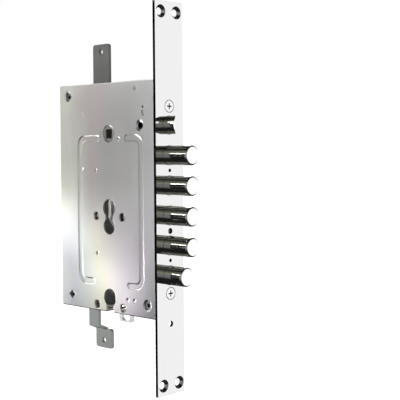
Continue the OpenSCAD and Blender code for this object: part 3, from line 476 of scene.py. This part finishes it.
shape = bmesh.new()
for height in screw_heights:
    centre = Vector((forend_face, 0, height))
    steps = [(0, head_radius - groove_width), (groove_depth, head_radius - head_play),
             (neck_depth, neck_radius)]
    reach = neck_depth + thread_pitch / 2
    while reach < screw_length - thread_pitch:
        steps += [(reach, core_radius), (reach + thread_pitch / 2, shank_radius)]
        reach += thread_pitch
    steps += [(screw_length, tip_radius), (screw_length, tip_centre)]
    line = [shape.verts.new(centre + Vector((-back, radius, 0))) for back, radius in steps]
    edges = [shape.edges.new(pair) for pair in zip(line, line[1:])]
    bmesh.ops.spin(shape, geom=line + edges, cent=centre, axis=(1, 0, 0), dvec=(0, 0, 0),
                   angle=math.tau, steps=screw_sides, use_merge=True, use_duplicate=False)
    open_edges = [edge for edge in shape.edges if edge.is_boundary]
    rim = [edge for edge in open_edges if all(
        abs(v.co.x - forend_face) < touching and abs(v.co.z - height) < head_radius
        for v in edge.verts)]
    tip = [edge for edge in open_edges if all(
        v.co.x < forend_face - screw_length + touching for v in edge.verts)]
    press_cross(shape, rim, centre)
    bmesh.ops.contextual_create(shape, geom=tip)
bmesh.ops.remove_doubles(shape, verts=shape.verts, dist=touching)
bmesh.ops.recalc_face_normals(shape, faces=shape.faces)
screw_mesh = bpy.data.meshes.new("forend_screw_pair")
shape.to_mesh(screw_mesh)
shape.free()
screws = bpy.data.objects.new("forend_screw_pair", screw_mesh)
bpy.context.collection.objects.link(screws)
screw_finish = steel_finish("polished_screw", (0.93, 0.93, 0.93), 0.08, grain=(60, 900, 900),
                            bump=0.02)
screw_tree = screw_finish.node_tree
# Painted shade: the groove round each head and each recess are painted dark.
recess_shade = rise(screw_tree, split(screw_tree, "Object")["X"],
             *[forend_face - depth for depth in shade_depths])
lay_over(screw_finish, recess_shade, recess_shade_color)
screw_mesh.materials.append(screw_finish)
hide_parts("forend_screws")
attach(screws, "case")


# Wheels, rack and follower: sintered steel parts, slightly warm and porous. The wheels turn
# on their arbors, the follower in the case's walls, and the rack is riveted to the carriage.
sintered = steel_finish("sintered_steel", (0.36, 0.34, 0.31), 0.42, metallic=0.9,
                        grain=(900, 900, 900), depth=0.8, bump=0.12)
paint(sintered, "drive_wheel", "service_wheel", "handle_follower", "carriage_rack")


# Drill plate: a hardened plate behind the cover, which keeps a drill off the works round the
# main cylinder. It is dark from its heat treatment.
hardened = steel_finish("hardened_dark_plate", (0.13, 0.13, 0.135), 0.45, metallic=0.8, bump=0.1)
paint(hardened, "drill_plate")


# Springs and clips: drawn spring wire and stamped spring strip, oiled. The latch's spring is
# wound to the size of its CAD node.
wire_radius = 0.55 * millimetre
wire_sides = 10
coil_turns, coil_steps = 7, 20
coil_low, coil_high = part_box("latch_spring")
coil_radius = (coil_high[2] - coil_low[2]) / 2 - wire_radius
coil_start = Vector((coil_low[0] + wire_radius, (coil_low[1] + coil_high[1]) / 2,
                     (coil_low[2] + coil_high[2]) / 2))
coil_step = (coil_high[0] - coil_low[0] - 2 * wire_radius) / (coil_turns * coil_steps)
spring_wire = steel_finish("oiled_spring_wire", (0.3, 0.3, 0.31), 0.25, grain=(900, 900, 900),
                           bump=0.04)
paint(spring_wire, "follower_spring", "drive_clip", "service_clip")

shape = bmesh.new()
wire_end = Matrix.Translation(coil_start + Vector((0, 0, coil_radius)))
ring = bmesh.ops.create_circle(shape, segments=wire_sides, radius=wire_radius,
                               matrix=wire_end @ Matrix.Rotation(math.pi / 2, 4, "X"))
bmesh.ops.spin(shape, geom=ring["verts"] + list(shape.edges), cent=coil_start, axis=(1, 0, 0),
               dvec=(coil_step, 0, 0), angle=math.tau * coil_turns, steps=coil_turns * coil_steps)
ends = [edge for edge in shape.edges if edge.is_boundary]
bmesh.ops.holes_fill(shape, edges=ends, sides=0)
bmesh.ops.recalc_face_normals(shape, faces=shape.faces)
coil_mesh = bpy.data.meshes.new("latch_coil")
shape.to_mesh(coil_mesh)
shape.free()
coil_mesh.materials.append(spring_wire)
coil = bpy.data.objects.new("latch_coil", coil_mesh)
bpy.context.collection.objects.link(coil)
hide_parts("latch_spring")
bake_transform(coil)


# Floor: a plain pale floor just under the object, which gives its own light so that it stays
# even. The polished metal doesn't mirror it.
floor_half = 4.0
floor_level = cad_box[0][2]
floor_color = (0.92, 0.92, 0.92, 1)
floor_mesh = bpy.data.meshes.new("floor")
shape = bmesh.new()
bmesh.ops.create_grid(shape, x_segments=1, y_segments=1, size=floor_half,
                      matrix=Matrix.Translation((0, 0, floor_level)))
shape.to_mesh(floor_mesh)
shape.free()
floor = bpy.data.objects.new("floor", floor_mesh)
bpy.context.collection.objects.link(floor)
floor.visible_glossy = False
floor.visible_shadow = False
floor_paint = bpy.data.materials.new("pale_floor")
floor_paint.use_nodes = True
floor_shader = floor_paint.node_tree.nodes["Principled BSDF"]
floor_shader.inputs["Base Color"].default_value = floor_color
floor_shader.inputs["Roughness"].default_value = 0.9
floor_shader.inputs["Emission Color"].default_value = (1, 1, 1, 1)
floor_shader.inputs["Emission Strength"].default_value = 1.0
floor_mesh.materials.append(floor_paint)


# Lamps: the long lamp draws the streak along each bolt, the rim lamp lights the rims of holes
# and grooves, the glow lamps lay the slanting band on the cover, and the inner and opening
# lamps show a little of the works. The others are soft fills from all sides.
def soft_lamp(name, place, aim, size, watts, turn=0, spread=180):
    """A rectangular lamp that looks at a point and doesn't show in the picture itself."""
    data = bpy.data.lights.new(name, "AREA")
    data.shape = "RECTANGLE"
    data.size, data.size_y = size
    data.energy, data.spread = watts, math.radians(spread)
    lamp = bpy.data.objects.new(name, data)
    aimed = (Vector(place) - Vector(aim)).to_track_quat("Z", "Y").to_matrix().to_4x4()
    aimed = aimed @ Matrix.Rotation(math.radians(turn), 4, "Z")
    lamp.matrix_world = Matrix.Translation(place) @ aimed
    lamp.visible_camera = False
    bpy.context.collection.objects.link(lamp)


soft_lamp("long_lamp", (-1.05, -1.0, 0.44), (0.08, 0, 0.01), (2.2, 0.045), 3.6)
soft_lamp("glow_lamp_left", (-0.194, -0.124, -0.034), (-0.063, -0.017, -0.014),
          (0.075, 0.022), 0.00085, turn=-58, spread=50)
soft_lamp("glow_lamp_right", (-0.114, -0.124, -0.101), (0.017, -0.017, -0.081),
          (0.08, 0.024), 0.00080, turn=-54, spread=50)
soft_lamp("inner_lamp", (-0.006, 0, -0.082), (-0.03, 0.015, -0.077), (0.008, 0.008), 0.005,
          spread=60)
soft_lamp("opening_lamp", (0.022, -0.006, -0.004), (-0.02, 0.014, -0.008), (0.006, 0.02), 0.008,
          spread=60)
soft_lamp("rim_lamp", (-0.95, -0.12, -0.29), (0, -0.017, 0), (0.24, 0.24), 4.2)
soft_lamp("left_lamp", (-1.275, -0.70, -0.08), (-0.05, -0.017, 0), (0.24, 0.6), 0.52)
soft_lamp("right_lamp", (-0.81, -1.14, -0.06), (0.03, -0.017, -0.01), (0.24, 0.2), 0.44)
soft_lamp("front_lamp", (0.08, -1.2, -0.05), (0, -0.017, 0), (0.3, 0.5), 0.22)
soft_lamp("top_lamp", (-0.35, 0.5, 1.5), (0, 0, 0), (0.9, 0.9), 4)
soft_lamp("back_lamp", (-1.1, 1.0, 0.35), (0, 0.017, 0), (0.6, 0.6), 4)


# Studio walls: a dark room with pale patches for the metal to mirror. The widest, to the back
# and right, whitens the forend; one far left and one above it light the rims of holes, and
# one in front fills the grooves. The camera itself sees plain white.
world = bpy.data.worlds.new("studio")
bpy.context.scene.world = world
world.use_nodes = True
sky = world.node_tree
sky.nodes.clear()


def grey(level):
    """A neutral colour of that level."""
    return level, level, level


def pale_patch(toward, edge, core, level):
    """A soft round patch of wall, with its level at the core and none at the edge."""
    reach = along_way(sky, "Generated", Vector(toward).normalized())
    return rise(sky, reach, edge, core, top=level, interpolation_type="SMOOTHSTEP")


def combine(operation, first, second):
    """Two levels made one by a Math node."""
    node = add_node(sky, "ShaderNodeMath", operation=operation)
    sky.links.new(first, node.inputs[0])
    sky.links.new(second, node.inputs[1])
    return node.outputs[0]


height = rise(sky, split(sky, "Generated")["Z"], -1, 1)
shelf = color_ramp(sky, height, [
    (0.30, grey(0.0)), (0.35, grey(1.0)), (0.58, grey(1.0)), (0.63, grey(0.0))])
room = color_ramp(sky, height, [
    (0.0, grey(0.02)), (0.30, grey(0.01)), (0.36, grey(0.01)), (0.42, (0.03, 0.03, 0.027)),
    (0.50, grey(0.01)), (0.58, grey(0.01)), (0.61, (0.16, 0.16, 0.12)),
    (0.70, (0.20, 0.20, 0.15)), (0.78, (0.10, 0.10, 0.08)), (0.84, grey(0.01)),
    (1.0, grey(0.01))])
pale = combine("MULTIPLY", pale_patch((0.6, 0.75, 0), 0.45, 0.7, 1.0), shelf)
for patch in (((-0.97, 0.1, -0.2), 0.88, 0.97, 0.35), ((-0.95, -0.12, 0.28), 0.93, 0.97, 0.9),
              ((0.3, -0.95, 0.0), 0.72, 0.93, 0.22)):
    pale = combine("MAXIMUM", pale, pale_patch(*patch))
walls = add_node(sky, "ShaderNodeMix", data_type="RGBA")
walls.inputs[7].default_value = (1, 1, 1, 1)
mirrored = add_node(sky, "ShaderNodeBackground", Strength=1.0)
seen = add_node(sky, "ShaderNodeBackground", Color=(1, 1, 1, 1), Strength=1.0)
rays = add_node(sky, "ShaderNodeLightPath")
choice = add_node(sky, "ShaderNodeMixShader")
result = add_node(sky, "ShaderNodeOutputWorld")
sky.links.new(pale, walls.inputs[0])
sky.links.new(room, walls.inputs[6])
sky.links.new(walls.outputs[2], mirrored.inputs["Color"])
sky.links.new(rays.outputs["Is Camera Ray"], choice.inputs["Fac"])
sky.links.new(mirrored.outputs[0], choice.inputs[1])
sky.links.new(seen.outputs[0], choice.inputs[2])
sky.links.new(choice.outputs[0], result.inputs["Surface"])
